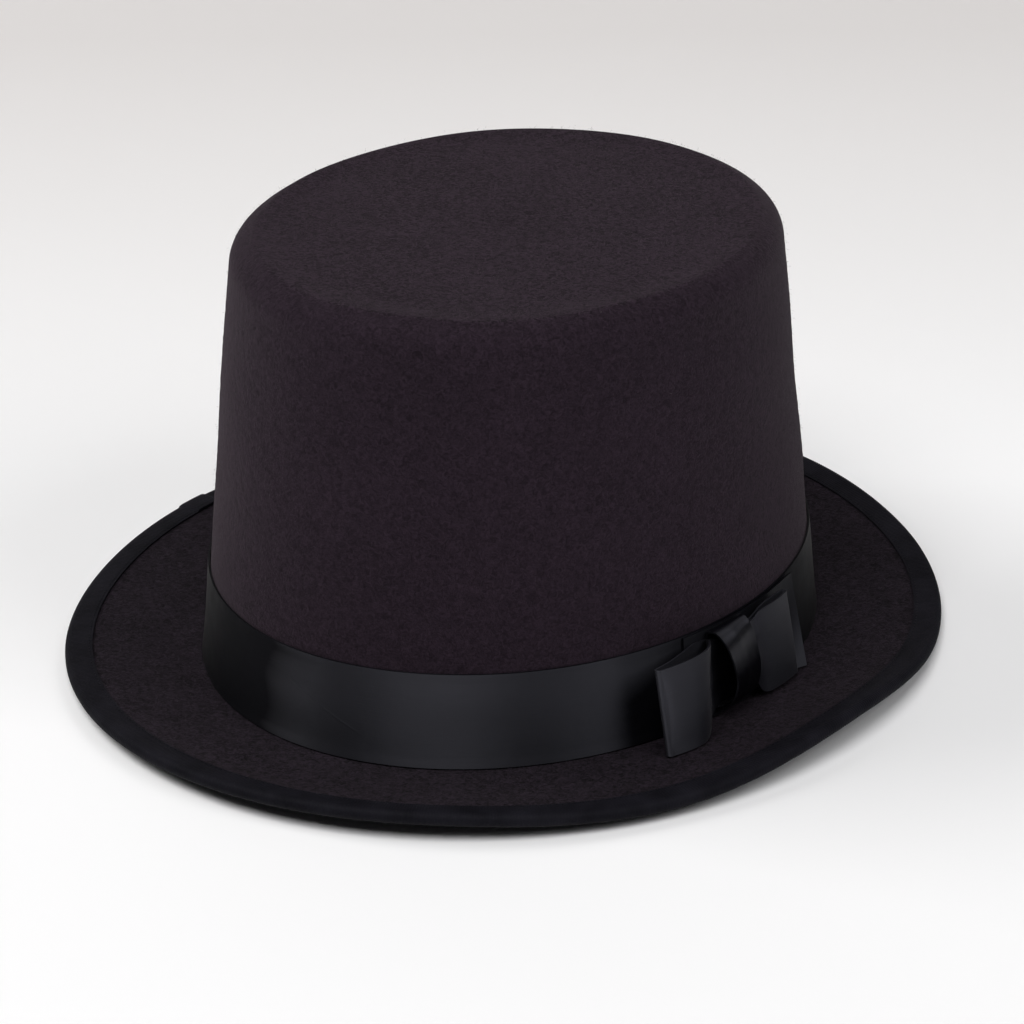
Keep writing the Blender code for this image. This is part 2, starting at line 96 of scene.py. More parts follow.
class Brim:
    """The curled brim: a point a way along its section and a depth below its top face."""

    STEPS = 80

    def __init__(self, theta):
        self.theta = theta
        side = np.cos(theta) ** 2
        self.width = BRIM_SIDE * side + BRIM_END * (1.0 - side) + BRIM_SHIFT * np.cos(theta)
        tilts = np.array(RIM_TILTS)
        at = theta / (2.0 * math.pi) * len(tilts)
        first = np.floor(at).astype(int)
        part = at - first
        before, here, after, beyond = [tilts[(first + k) % len(tilts)] for k in (-1, 0, 1, 2)]
        tilt = (here * (2.0 * part ** 3 - 3.0 * part ** 2 + 1.0)
                + 0.5 * (after - before) * (part ** 3 - 2.0 * part ** 2 + part)
                + after * (3.0 * part ** 2 - 2.0 * part ** 3)
                + 0.5 * (beyond - here) * (part ** 3 - part ** 2))
        self.rim_tilt = np.radians(tilt)
        shares = (np.arange(self.STEPS * 11 // 10) + 0.5) / self.STEPS
        tilt = self.tilt(shares[None, :])
        step = self.width[:, None] / self.STEPS
        zero = np.zeros((len(theta), 1))
        self.reach = np.hstack([zero, np.cumsum(np.cos(tilt) * step, axis=1)])
        self.rise = np.hstack([zero, np.cumsum(np.sin(tilt) * step, axis=1)])

    def tilt(self, share):
        return ROOT_TILT + (self.rim_tilt[:, None] - ROOT_TILT) * np.maximum(share, 0.0) ** CURL_START

    def points(self, along, depth):
        """along and depth are (angles, rows) arrays; returns (angles, rows, 3)."""
        share = along / self.width[:, None]
        at = np.clip(share, 0.0, 1.09) * self.STEPS
        low = np.floor(at).astype(int)
        part = at - low
        row = np.arange(len(self.theta))[:, None]
        reach = self.reach[row, low] * (1.0 - part) + self.reach[row, low + 1] * part
        rise = self.rise[row, low] * (1.0 - part) + self.rise[row, low + 1] * part
        reach = np.where(along < 0.0, along, reach)
        rise = np.where(along < 0.0, 0.0, rise)
        tilt = self.tilt(share) * np.clip(along / FELT, 0.0, 1.0)
        reach = reach + np.sin(tilt) * depth
        z = ROOT_Z + rise - np.cos(tilt) * depth
        base = oval(self.theta, ROOT_Z + 0.0 * self.theta, 0.0 * self.theta)
        nx = np.cos(self.theta) * HALF_Y
        ny = np.sin(self.theta) * HALF_X
        size = np.hypot(nx, ny)
        x = base[:, 0][:, None] + reach * (nx / size)[:, None]
        y = base[:, 1][:, None] + reach * (ny / size)[:, None]
        return np.stack([x, y, z], axis=-1)


def ring_angles(count):
    return np.arange(count) * (2.0 * math.pi / count)


def waves(a, b, seed, amount, low, high, count=7):
    """A smooth wandering value over two coordinates, the same on every run."""
    rng = np.random.default_rng(seed)
    total = 0.0 * (a + b)
    for _ in range(count):
        ka = rng.integers(low, high + 1)
        kb = rng.uniform(-1.0, 1.0) * high
        total = total + np.sin(ka * a + kb * b + rng.uniform(0.0, 2.0 * math.pi))
    return amount * total / math.sqrt(count)


# --- meshes from grids --------------------------------------------------------------------------
def mesh_object(name, verts, faces, material, uvs=None):
    mesh = bpy.data.meshes.new(name)
    verts = np.asarray(verts, float) + (CENTRE.x, CENTRE.y, 0.0)
    mesh.from_pydata(verts.tolist(), [], faces)
    mesh.update()
    if uvs is not None:
        layer = mesh.uv_layers.new(name="uv")
        index = np.zeros(len(mesh.loops), np.int32)
        mesh.loops.foreach_get("vertex_index", index)
        layer.data.foreach_set("uv", np.asarray(uvs, np.float32)[index].ravel())
    mesh.polygons.foreach_set("use_smooth", [True] * len(mesh.polygons))
    mesh.materials.append(material)
    body = bpy.data.objects.new(name, mesh)
    bpy.context.scene.collection.objects.link(body)
    return body


def section_ring(name, points, material, sharp=50.0):
    """A closed ring from (angles, section points, 3), whose section is a closed loop."""
    count, size = points.shape[:2]
    i = np.arange(count)[:, None]
    j = np.arange(size)[None, :]
    i2 = (i + 1) % count
    j2 = (j + 1) % size
    faces = np.stack([i * size + j, i2 * size + j, i2 * size + j2, i * size + j2], -1)
    faces = faces.reshape(-1, 4).tolist()
    theta = ring_angles(count)
    around = np.repeat((theta * 0.5 * (HALF_X + HALF_Y))[:, None], size, 1)
    across = np.cumsum(np.linalg.norm(np.diff(points, axis=1, prepend=points[:, :1]), axis=-1), 1)
    uvs = np.stack([around, across], -1).reshape(-1, 2)
    body = mesh_object(name, points.reshape(-1, 3), faces, material, uvs)
    outward(body)
    body.data.set_sharp_from_angle(angle=math.radians(sharp))
    return body


def outward(body):
    bm = bmesh.new()
    bm.from_mesh(body.data)
    bmesh.ops.recalc_face_normals(bm, faces=bm.faces)
    bm.to_mesh(body.data)
    bm.free()


def section_cap(name, points, top, bottom, material, sharp=50.0):
    """A closed cap from open sections (angles, points, 3) between a top and a bottom pole."""
    count, size = points.shape[:2]
    faces = []
    base = 2
    for i in range(count):
        k = (i + 1) % count
        a = base + i * size
        b = base + k * size
        faces.append((0, b, a))
        faces.append((1, a + size - 1, b + size - 1))
    i = np.arange(count)[:, None]
    j = np.arange(size - 1)[None, :]
    i2 = (i + 1) % count
    grid = np.stack([i * size + j, i2 * size + j, i2 * size + j + 1, i * size + j + 1], -1) + base
    faces += grid.reshape(-1, 4).tolist()
    verts = np.vstack([[top], [bottom], points.reshape(-1, 3)])
    body = mesh_object(name, verts, faces, material, verts[:, :2])
    outward(body)
    body.data.set_sharp_from_angle(angle=math.radians(sharp))
    return body


def ribbon_solid(name, centre, normal, edge, thickness, material):
    """A ribbon with rolled edges from a (run, across, 3) sheet, its normals and edge thickening."""
    run, across = centre.shape[:2]
    half = 0.5 * thickness * edge[..., None]
    front = centre + normal * half
    back = centre - normal * half
    verts = np.vstack([front.reshape(-1, 3), back.reshape(-1, 3)])
    faces = []
    shift = run * across
    for i in range(run - 1):
        for j in range(across - 1):
            a = i * across + j
            faces.append((a, a + across, a + across + 1, a + 1))
            faces.append((a + shift, a + 1 + shift, a + across + 1 + shift, a + across + shift))
    for i in range(run - 1):
        for j in (0, across - 1):
            a = i * across + j
            quad = (a, a + shift, a + across + shift, a + across)
            faces.append(quad if j == 0 else tuple(reversed(quad)))
    for j in range(across - 1):
        for i in (0, run - 1):
            a = i * across + j
            quad = (a, a + 1, a + 1 + shift, a + shift)
            faces.append(quad if i == 0 else tuple(reversed(quad)))
    lengths = np.cumsum(np.linalg.norm(np.diff(centre, axis=0, prepend=centre[:1]), axis=-1), 0)
    widths = np.cumsum(np.linalg.norm(np.diff(centre, axis=1, prepend=centre[:, :1]), axis=-1), 1)
    uv = np.stack([lengths, widths], -1).reshape(-1, 2)
    body = mesh_object(name, verts, faces, material, np.vstack([uv, uv]))
    outward(body)
    body.data.set_sharp_from_angle(angle=math.radians(60.0))
    return body


def grid_normals(centre, closed=False):
    if closed:
        du = np.roll(centre, -1, 0) - np.roll(centre, 1, 0)
    else:
        du = np.gradient(centre, axis=0)
    dv = np.gradient(centre, axis=1)
    normal = np.cross(du, dv)
    return normal / np.maximum(np.linalg.norm(normal, axis=-1, keepdims=True), 1e-12)


# --- materials ----------------------------------------------------------------------------------
class Nodes:
    """A new material, with short ways to add and link its shader nodes."""

    def __init__(self, name):
        self.material = bpy.data.materials.new(name)
        self.material.use_nodes = True
        self.tree = self.material.node_tree
        self.shader = self.tree.nodes["Principled BSDF"]

    def add(self, kind, inputs=None, **settings):
        node = self.tree.nodes.new(kind)
        for key, value in settings.items():
            setattr(node, key, value)
        for key, value in (inputs or {}).items():
            if hasattr(value, "is_output"):
                self.tree.links.new(value, node.inputs[key])
            else:
                node.inputs[key].default_value = value
        return node

    def put(self, socket, value):
        if hasattr(value, "is_output"):
            self.tree.links.new(value, self.shader.inputs[socket])
        else:
            self.shader.inputs[socket].default_value = value

    def noise(self, vector, scale, detail=4.0, roughness=0.6, curl=0.0):
        return self.add("ShaderNodeTexNoise", {"Vector": vector, "Scale": scale, "Detail": detail,
                                               "Roughness": roughness, "Distortion": curl}).outputs["Fac"]

    def spread(self, value, low, high, to_low=0.0, to_high=1.0):
        return self.add("ShaderNodeMapRange", {"Value": value, "From Min": low, "From Max": high,
                                               "To Min": to_low, "To Max": to_high}).outputs[0]

    def mix(self, factor, one, two):
        node = self.tree.nodes.new("ShaderNodeMix")
        node.data_type = "RGBA"
        for socket, value in ((node.inputs[0], factor), (node.inputs[6], one), (node.inputs[7], two)):
            if hasattr(value, "is_output"):
                self.tree.links.new(value, socket)
            elif isinstance(value, tuple):
                socket.default_value = (*value, 1.0)
            else:
                socket.default_value = value
        return node.outputs[2]

    def math(self, operation, one, two=0.0):
        return self.add("ShaderNodeMath", {0: one, 1: two}, operation=operation).outputs[0]

    def bump(self, height, distance, strength=1.0, normal=None):
        inputs = {"Height": height, "Distance": distance, "Strength": strength}
        if normal is not None:
            inputs["Normal"] = normal
        return self.add("ShaderNodeBump", inputs).outputs["Normal"]

    def scaled(self, vector, factors):
        return self.add("ShaderNodeVectorMath", {0: vector, 1: factors}, operation="MULTIPLY").outputs[0]

    @property
    def here(self):
        return self.add("ShaderNodeTexCoord").outputs["Object"]

    @property
    def uv(self):
        return self.add("ShaderNodeTexCoord").outputs["UV"]


def felt_material(name, dark, light, sheen, clumps=640.0, rough_top=0.9):
    n = Nodes(name)
    here = n.here
    cloud = n.noise(here, 38.0, 3.0)
    clump = n.noise(here, clumps, 3.0, 0.6, 1.4)
    grain = n.noise(here, 2400.0, 3.0, 0.7)
    warp = n.noise(n.scaled(here, (900.0, 900.0, 2600.0)), 1.0, 3.0, 0.7)
    mixed = n.math("ADD", n.math("MULTIPLY", clump, 0.72), n.math("MULTIPLY", warp, 0.28))
    tone = n.spread(n.math("ADD", n.math("MULTIPLY", mixed, 0.8), n.math("MULTIPLY", grain, 0.2)), 0.39, 0.62)
    tone = n.math("ADD", n.math("MULTIPLY", tone, 0.88), n.spread(cloud, 0.3, 0.7, 0.0, 0.12))
    normal = n.add("ShaderNodeNewGeometry").outputs["Normal"]
    facing_up = n.add("ShaderNodeSeparateXYZ", {"Vector": normal}).outputs[2]
    swing = n.spread(facing_up, 0.90, 0.99, 1.0, 1.0 + rough_top)
    tone = n.math("ADD", n.math("MULTIPLY", n.math("SUBTRACT", tone, 0.5), swing), 0.5)
    colour = n.mix(tone, dark, light)
    lint = n.add("ShaderNodeTexVoronoi", {"Vector": here, "Scale": 60.0, "Randomness": 1.0})
    speck = n.math("LESS_THAN", lint.outputs["Distance"], 0.010)
    n.put("Base Color", n.mix(speck, colour, (0.10, 0.09, 0.09)))
    n.put("Roughness", 0.95)
    n.put("Specular IOR Level", 0.10)
    n.put("Sheen Weight", sheen)
    n.put("Sheen Roughness", 0.40)
    n.put("Sheen Tint", (0.80, 0.66, 0.74, 1.0))
    soft = n.bump(mixed, 0.45 * MM, 0.7)
    n.put("Normal", n.bump(grain, 0.22 * MM, 0.8, soft))
    return n.material


def satin_material(name, dark, light, roughness, line_pitch, edge_gloss, crease=False, painted_knot_shade=False):
    n = Nodes(name)
    uv = n.uv
    here = n.here
    threads = n.noise(n.scaled(uv, (60.0, 1.0 / line_pitch, 1.0)), 1.0, 2.0, 0.5)
    cross = n.noise(n.scaled(uv, (2.2 / line_pitch, 300.0, 1.0)), 1.0, 2.0, 0.5)
    cloud = n.noise(here, 75.0, 3.0)
    colour = n.mix(n.spread(threads, 0.3, 0.7), dark, light)
    n.put("Roughness", n.spread(cloud, 0.3, 0.7, roughness - 0.03, roughness + 0.05))
    facing = n.add("ShaderNodeLayerWeight", {"Blend": 0.5}).outputs["Facing"]
    gloss = n.spread(facing, 0.25, 0.40, 0.56, edge_gloss)
    # painted shade: towards the knot the front loop's satin is darkened almost to black and loses its gloss,
    # standing in for the shade in the gap there
    if painted_knot_shade:
        place = n.add("ShaderNodeSeparateXYZ", {"Vector": here}).outputs[1]
        unshaded_share = n.spread(place, KNOT_SHADE_FROM, KNOT_SHADE_TO, 1.0, 0.06)
        gloss = n.math("MULTIPLY", gloss, unshaded_share)
        colour = n.mix(unshaded_share, (0.0008, 0.0008, 0.0012), colour)
    n.put("Base Color", colour)
    n.put("Specular IOR Level", gloss)
    n.put("Anisotropic", 0.90)
    n.put("Anisotropic Rotation", 0.25)
    n.put("Tangent", n.add("ShaderNodeTangent", direction_type="UV_MAP", uv_map="uv").outputs["Tangent"])
    n.put("Specular Tint", (0.86, 0.855, 1.0, 1.0))
    soft = n.bump(cloud, 0.35 * MM, 0.35)
    lines = n.bump(threads, 0.05 * MM, 0.5, soft)
    normal = n.bump(cross, 0.03 * MM, 0.4, lines)
    if crease:
        parts = n.add("ShaderNodeSeparateXYZ", {"Vector": uv}).outputs
        along = n.math("SUBTRACT", parts[0], CREASE_FROM[0])
        across = n.math("SUBTRACT", parts[1], CREASE_FROM[1])
        run = Vector((CREASE_TO[0] - CREASE_FROM[0], CREASE_TO[1] - CREASE_FROM[1]))
        size = run.length
        run_part = n.math("MULTIPLY", along, run.y / size)
        off = n.math("ADD", run_part, n.math("MULTIPLY", across, -run.x / size))
        place = n.math("ADD", n.math("MULTIPLY", along, run.x / size / size),
                       n.math("MULTIPLY", across, run.y / size / size))
        line = n.spread(n.math("ABSOLUTE", off), 0.0, 0.55 * MM, 1.0, 0.0)
        fade = n.math("MULTIPLY", n.spread(place, 0.0, 0.15), n.spread(place, 1.0, 0.7))
        normal = n.bump(n.math("MULTIPLY", line, fade), 0.10 * MM, 0.8, normal)
    n.put("Normal", normal)
    return n.material


def grosgrain_material(name):
    n = Nodes(name)
    here = n.here
    fuzz = n.noise(here, 2200.0, 2.0)
    cloud = n.noise(here, 90.0, 2.0)
    n.put("Base Color", n.mix(n.spread(cloud, 0.3, 0.7), (0.0042, 0.0039, 0.0056), (0.0090, 0.0084, 0.0118)))
    n.put("Roughness", n.spread(fuzz, 0.3, 0.7, 0.55, 0.75))
    n.put("Specular IOR Level", 0.06)
    n.put("Specular Tint", (0.92, 0.94, 1.0, 1.0))
    n.put("Sheen Weight", 0.008)
    n.put("Sheen Roughness", 0.4)
    n.put("Sheen Tint", (0.75, 0.78, 0.90, 1.0))
    n.put("Normal", n.bump(fuzz, 0.06 * MM, 0.7))
    return n.material


def leather_material(name, colour):
    n = Nodes(name)
    here = n.here
    grain = n.add("ShaderNodeTexVoronoi", {"Vector": here, "Scale": 900.0}).outputs["Distance"]
    pores = n.noise(here, 1600.0, 2.0)
    wear = n.noise(here, 40.0, 3.0)
    light = tuple(min(1.0, c * 1.7) for c in colour)
    n.put("Base Color", n.mix(n.spread(wear, 0.3, 0.75), colour, light))
    n.put("Roughness", n.spread(wear, 0.3, 0.7, 0.42, 0.6))
    fine = n.bump(pores, 0.05 * MM, 0.5)
    n.put("Normal", n.bump(grain, 0.12 * MM, 0.6, fine))
    return n.material


def buckram_material(name):
    n = Nodes(name)
    here = n.here
    a = n.add("ShaderNodeTexWave", {"Vector": here, "Scale": 260.0}, bands_direction="Z").outputs["Fac"]
    b = n.add("ShaderNodeTexWave", {"Vector": here, "Scale": 260.0}, bands_direction="X").outputs["Fac"]
    weave = n.math("MAXIMUM", a, b)
    n.put("Base Color", n.mix(weave, (0.24, 0.21, 0.16), (0.50, 0.46, 0.37)))
    n.put("Roughness", 0.9)
    n.put("Normal", n.bump(weave, 0.2 * MM, 0.8))
    return n.material


def wire_material(name):
    n = Nodes(name)
    marks = n.noise(n.here, 1400.0, 2.0)
    n.put("Base Color", n.mix(marks, (0.40, 0.40, 0.41), (0.60, 0.60, 0.62)))
    n.put("Metallic", 1.0)
    n.put("Roughness", n.spread(marks, 0.3, 0.7, 0.25, 0.45))
    return n.material


def floor_material(name, away):
    n = Nodes(name)
    here = n.here
    far = n.add("ShaderNodeVectorMath", {0: here, 1: tuple(away)}, operation="DOT_PRODUCT").outputs["Value"]
    # painted shade: the paper's colour darkens from near to far, standing in for the light falling off
    # towards the back
    tone = n.math("ADD", n.spread(far, *FLOOR_SHADE_RAMP), n.spread(n.noise(here, 4.0, 2.0), 0.3, 0.7, -0.02, 0.02))
    n.put("Base Color", n.mix(tone, (0.940, 0.936, 0.940), (0.76, 0.735, 0.725)))
    n.put("Roughness", 0.6)
    n.put("Specular IOR Level", 0.2)
    return n.material


# along the hat's side: where the painted shade on the front loop's satin starts, and where it is darkest,
# towards the knot
KNOT_SHADE_FROM, KNOT_SHADE_TO = -28.5 * MM, -20.5 * MM
# a slight crease across the band, as metres along it and across it
CREASE_FROM = (0.4462, 0.0200)
CREASE_TO = (0.4754, 0.0080)
SATIN_LINES = 0.28 * MM
LINING_LINES = 0.22 * MM
# painted light: the bow's loops get a much lighter copy of the same satin as the band, standing in for the
# light they catch
BOW_DARK = (0.0088, 0.0087, 0.0112)
BOW_LIGHT = (0.0130, 0.0129, 0.0162)
# the paper sweep behind and under the hat, measured from the hat and away from the camera
SWEEP_FRONT, SWEEP_BACK = -3.0, 2.2
SWEEP_CURVE = 1.2
SWEEP_TOP = 3.7
SWEEP_HALF_WIDTH = 9.0
# painted shade: where the floor's darkening away from the camera starts and ends
FLOOR_SHADE_RAMP = (0.12, 0.56)

FELT_CROWN = felt_material("felt_crown_nap", (0.0080, 0.0050, 0.0077), (0.0262, 0.0168, 0.0254), 0.076)
# painted shade: the brim gets a darker copy of the crown's felt, standing in for the light the crown keeps
# off it
FELT_BRIM_SHADED = felt_material("felt_brim_nap_painted_shade", (0.0014, 0.0009, 0.0016), (0.0170, 0.0120, 0.0180), 0.034,
                          clumps=520.0, rough_top=0.25)
SATIN_BAND = satin_material("satin_band_weave", (0.0014, 0.0014, 0.0020), (0.0028, 0.0028, 0.0040),
                            0.54, SATIN_LINES, 0.06, crease=True)
SATIN_BOW_LIT = satin_material("satin_bow_weave_painted_light", BOW_DARK, BOW_LIGHT, 0.54, SATIN_LINES, 0.64)
SATIN_BOW_FRONT_LIT = satin_material("satin_bow_front_weave_painted_light_and_shade", BOW_DARK, BOW_LIGHT, 0.54, SATIN_LINES, 0.64,
                                 painted_knot_shade=True)
SATIN_KNOT = satin_material("satin_knot_weave", (0.0010, 0.0010, 0.0016), (0.0020, 0.0020, 0.0030),
                            0.44, SATIN_LINES, 0.32)
SATIN_UNDER = satin_material("satin_under_weave", (0.0020, 0.0020, 0.0028), (0.0040, 0.0040, 0.0054),
                             0.54, SATIN_LINES, 0.30)
SATIN_LINING = satin_material("satin_lining_weave", (0.008, 0.0075, 0.009), (0.014, 0.013, 0.016),
                              0.42, LINING_LINES, 0.52)
GROSGRAIN = grosgrain_material("grosgrain_ribs")
LEATHER = leather_material("sweatband_grain", (0.022, 0.017, 0.016))
LEATHER_REED = leather_material("reed_grain", (0.016, 0.013, 0.014))
THREAD = grosgrain_material("sewing_thread")
FUZZ = felt_material("felt_loose_fibre", (0.010, 0.008, 0.010), (0.030, 0.024, 0.028), 0.05)


# --- crown --------------------------------------------------------------------------------------
def crown_rows(depth, side_rows, edge_rows, tip_rows, foot):
    """(outward, shape height, point height) rows from near the tip's centre down to the foot."""
    wall_top = TIP_Z - EDGE
    radius = EDGE - depth
    rows = []
    for i in range(edge_rows + 1):
        turn = 0.5 * math.pi * (1.0 - i / edge_rows)
        rows.append((radius * math.cos(turn) - EDGE, wall_top + EDGE * math.sin(turn),
                     wall_top + radius * math.sin(turn), 1.0))
    for i in range(1, side_rows + 1):
        z = wall_top + (foot - wall_top) * i / side_rows
        rows.append((-depth, z, z, 1.0))
    tip = [(-EDGE, TIP_Z, TIP_Z - depth, i / tip_rows) for i in range(1, tip_rows)]
    return tip + rows


def crown_surface(theta, depth, side_rows, edge_rows, tip_rows, foot):
    rows = crown_rows(depth, side_rows, edge_rows, tip_rows, foot)
    out = np.zeros((len(theta), len(rows), 3))
    for j, (outward_by, shape_z, z, share) in enumerate(rows):
        ring = oval(theta, shape_z + 0.0 * theta, outward_by + 0.0 * theta)
        out[:, j, 0] = ring[:, 0] * share
        out[:, j, 1] = ring[:, 1] * share
        out[:, j, 2] = z
    return out


RIDGE_AT = 0.918                   # the soft ridge round the tip, as a share of the tip's half width
RIDGE_HEIGHT = 0.58 * MM
RIDGE_WANDER = 0.18 * MM
RIDGE_INNER, RIDGE_OUTER = 0.070, 0.022
TIP_SINK = 0.30 * MM
TIP_SAG = 0.18 * MM
SIDE_DENT = 0.28 * MM
NAP = 0.05 * MM


def build_crown():
    theta = ring_angles(400)
    outside = crown_surface(theta, 0.0, 120, 18, 40, crown_low.z)
    inside = crown_surface(theta, FELT, 10, 6, 6, crown_low.z)
    t = theta[:, None]
    radial = outside[..., :2] / np.maximum(np.linalg.norm(outside[..., :2], axis=-1, keepdims=True), 1e-9)
    height = (outside[..., 2] - ROOT_Z) / HEIGHT
    on_side = np.clip((TIP_Z - outside[..., 2]) / (2.0 * EDGE), 0.0, 1.0)
    above_band = np.clip((outside[..., 2] - BAND_FOOT - BAND_WIDTH) / (20.0 * MM), 0.0, 1.0)
    dent = waves(t, 3.0 * height, 11, SIDE_DENT, 1, 6) * on_side * above_band
    outside[..., :2] += radial * dent[..., None]
    flat = 1.0 - on_side
    x = outside[..., 0]
    y = outside[..., 1]
    sag = (np.sin(37.0 * x + 1.0) * np.cos(31.0 * y) + 0.6 * np.sin(70.0 * y + 25.0 * x)) * TIP_SAG
    outside[..., 2] += sag * flat - TIP_SINK * flat
    ring = np.hypot(x / (HALF_X * TIP_X_RATIO), y / (HALF_Y * TIP_Y_RATIO))
    ridge_width = np.where(ring < RIDGE_AT, RIDGE_INNER, RIDGE_OUTER)
    ridge_height = RIDGE_HEIGHT + waves(t, ring, 23, RIDGE_WANDER, 1, 9)
    ridge = np.exp(-((ring - RIDGE_AT) / ridge_width) ** 2) * ridge_height
    outside[..., 2] += ridge * (outside[..., 2] > TIP_Z - EDGE)
    rng = np.random.default_rng(3)
    nap = rng.normal(0.0, NAP, outside.shape[:2]) * above_band
    outside[..., :2] += radial * (nap * on_side)[..., None]
    points = np.concatenate([outside, inside[:, ::-1]], axis=1)
    crown = section_cap("crown_felt_shell", points, (0.0, 0.0, TIP_Z), (0.0, 0.0, TIP_Z - FELT), FELT_CROWN)
    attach(crown, "root")
    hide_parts("crown_felt")
    return crown


def fibres(name, points, normals, count, length, width, seed, material):
    """Fine loose fibres standing off a felt surface."""
    rng = np.random.default_rng(seed)
    pick = rng.integers(0, len(points), count)
    root = points[pick] + rng.normal(0.0, 0.4 * MM, (count, 3))
    out = normals[pick]
    root -= out * 0.25 * MM
    side = rng.normal(0.0, 1.0, (count, 3))
    side -= out * np.sum(side * out, axis=1, keepdims=True)
    side /= np.linalg.norm(side, axis=1, keepdims=True)
    across = np.cross(out, side)
    reach = length * rng.uniform(0.5, 1.3, (count, 1))
    lift = rng.uniform(0.25, 0.9, (count, 1))
    verts = []
    for share, wide in ((0.0, 1.0), (0.4, 0.9), (0.75, 0.6), (1.0, 0.15)):
        middle = root + out * reach * lift * (1.6 * share - 0.7 * share ** 2) + side * reach * share * 0.8
        verts.append(middle - across * width * wide)
        verts.append(middle + across * width * wide)
    verts = np.stack(verts, axis=1)
    base = np.arange(count)[:, None, None] * 8
    quad = np.array([[0, 1, 3, 2], [2, 3, 5, 4], [4, 5, 7, 6]])[None]
    faces = (base + quad).reshape(-1, 4).tolist()
    body = mesh_object(name, verts.reshape(-1, 3), faces, material)
    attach(body, "root")
    return body


def build_fuzz():
    theta = ring_angles(500)
    grid = crown_surface(theta, 0.0, 150, 20, 50, crown_low.z)
    keep = grid[0, :, 2] > BAND_FOOT + BAND_WIDTH + 1.0 * MM
    normal = grid_normals(grid, closed=True)
    middle = np.array([0.0, 0.0, ROOT_Z + 0.5 * HEIGHT])
    flip = np.sign(np.sum(normal * (grid - middle), axis=-1, keepdims=True))
    normal = normal * flip
    points = grid[:, keep].reshape(-1, 3)
    fibres("crown_fuzz", points, normal[:, keep].reshape(-1, 3), 16000, 1.05 * MM, 0.026 * MM, 7,
           FUZZ)
    brim = Brim(theta)
    shares = np.linspace(0.08, 1.0, 60)[None, :]
    along = (brim.width - BINDING_WIDTH)[:, None] * shares
    grid = brim.points(along, 0.0 * along)
    normal = grid_normals(grid, closed=True)
    normal = normal * np.sign(normal[..., 2:3])
    fibres("brim_fuzz", grid.reshape(-1, 3), normal.reshape(-1, 3), 6000, 0.7 * MM, 0.018 * MM, 8,
           FUZZ)


# --- brim ---------------------------------------------------------------------------------------
def brim_layer(name, node, top, bottom, seed):
    theta = ring_angles(256)
    brim = Brim(theta)
    inner = -2.0 * MM
    outer = brim.width - 2.5 * MM
    shares = np.linspace(0.0, 1.0, 30)[None, :]
    along = inner + (outer[:, None] - inner) * shares
    ripple = waves(theta[:, None], 2.0 * shares, seed, 0.10 * MM, 2, 7)
    ripple = ripple * np.clip(shares * 3.0, 0.0, 1.0) * np.clip((1.0 - shares) * 5.0, 0.0, 1.0)
    upper = brim.points(along, top + ripple)
    lower = brim.points(along, bottom + ripple)
    points = np.concatenate([upper, lower[:, ::-1]], axis=1)
    points[:, :, 2] = np.maximum(points[:, :, 2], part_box(node)[0].z)
    body = section_ring(name, points, FELT_BRIM_SHADED)
    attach(body, "root")
    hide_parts(node)
    return body


RIB_PROFILE = (0.0, 1.0, 0.75)     # one grosgrain rib, as shares of its height
RIBS = 940
RIB_HEIGHT = 0.14 * MM
LAP_REACH = 5.5 * MM               # half the overlap of the binding's ends
LAP_SLOPE = 0.7 * MM
LAP_HEIGHT = 0.55 * MM
LAP_ARC = 137.0 * MM               # roughly the rim's length for each radian, where the ends lap
EDGE_DIP = 0.12 * MM


def build_binding():
    theta = ring_angles(RIBS * len(RIB_PROFILE))
    brim = Brim(theta)
    half = 0.5 * BRIM_THICKNESS
    outer_radius = half + GAP + BINDING
    inner_radius = outer_radius - BINDING
    rib = np.tile(np.array(RIB_PROFILE), RIBS) * RIB_HEIGHT - 0.5 * RIB_HEIGHT
    from_lap = np.abs(theta - math.pi) * LAP_ARC
    lap = np.clip((LAP_REACH - from_lap) / LAP_SLOPE, 0.0, 1.0) * LAP_HEIGHT
    width = brim.width
    start = width - BINDING_WIDTH
    turn_at = width - outer_radius
    faces = ((outer_radius, 5, 7, 1.0), (inner_radius, 2, 4, 0.0))
    columns = []
    for radius, flats, turns, ribbed in faces:
        face = []
        swell = ribbed * (rib + lap)
        for i in range(flats):
            share = i / flats
            edge_dip = ribbed * (EDGE_DIP if i == 0 else 0.0)
            face.append((start + (turn_at - start) * share, half - radius - swell + edge_dip))
        for i in range(turns + 1):
            turn = math.pi * i / turns
            full = radius + swell
            face.append((turn_at + full * math.sin(turn), half - full * math.cos(turn)))
        for i in range(flats - 1, -1, -1):
            share = i / flats
            edge_dip = ribbed * (EDGE_DIP if i == 0 else 0.0)
            face.append((start + (turn_at - start) * share, half + radius + swell - edge_dip))
        columns += face if ribbed else face[::-1]
    along = np.stack([c[0] + 0.0 * theta for c in columns], axis=1)
    depth = np.stack([c[1] + 0.0 * theta for c in columns], axis=1)
    points = brim.points(along, depth)
    body = section_ring("brim_binding_ribbon", points, GROSGRAIN, sharp=70.0)
    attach(body, "root")
    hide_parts("brim_binding")
    return body


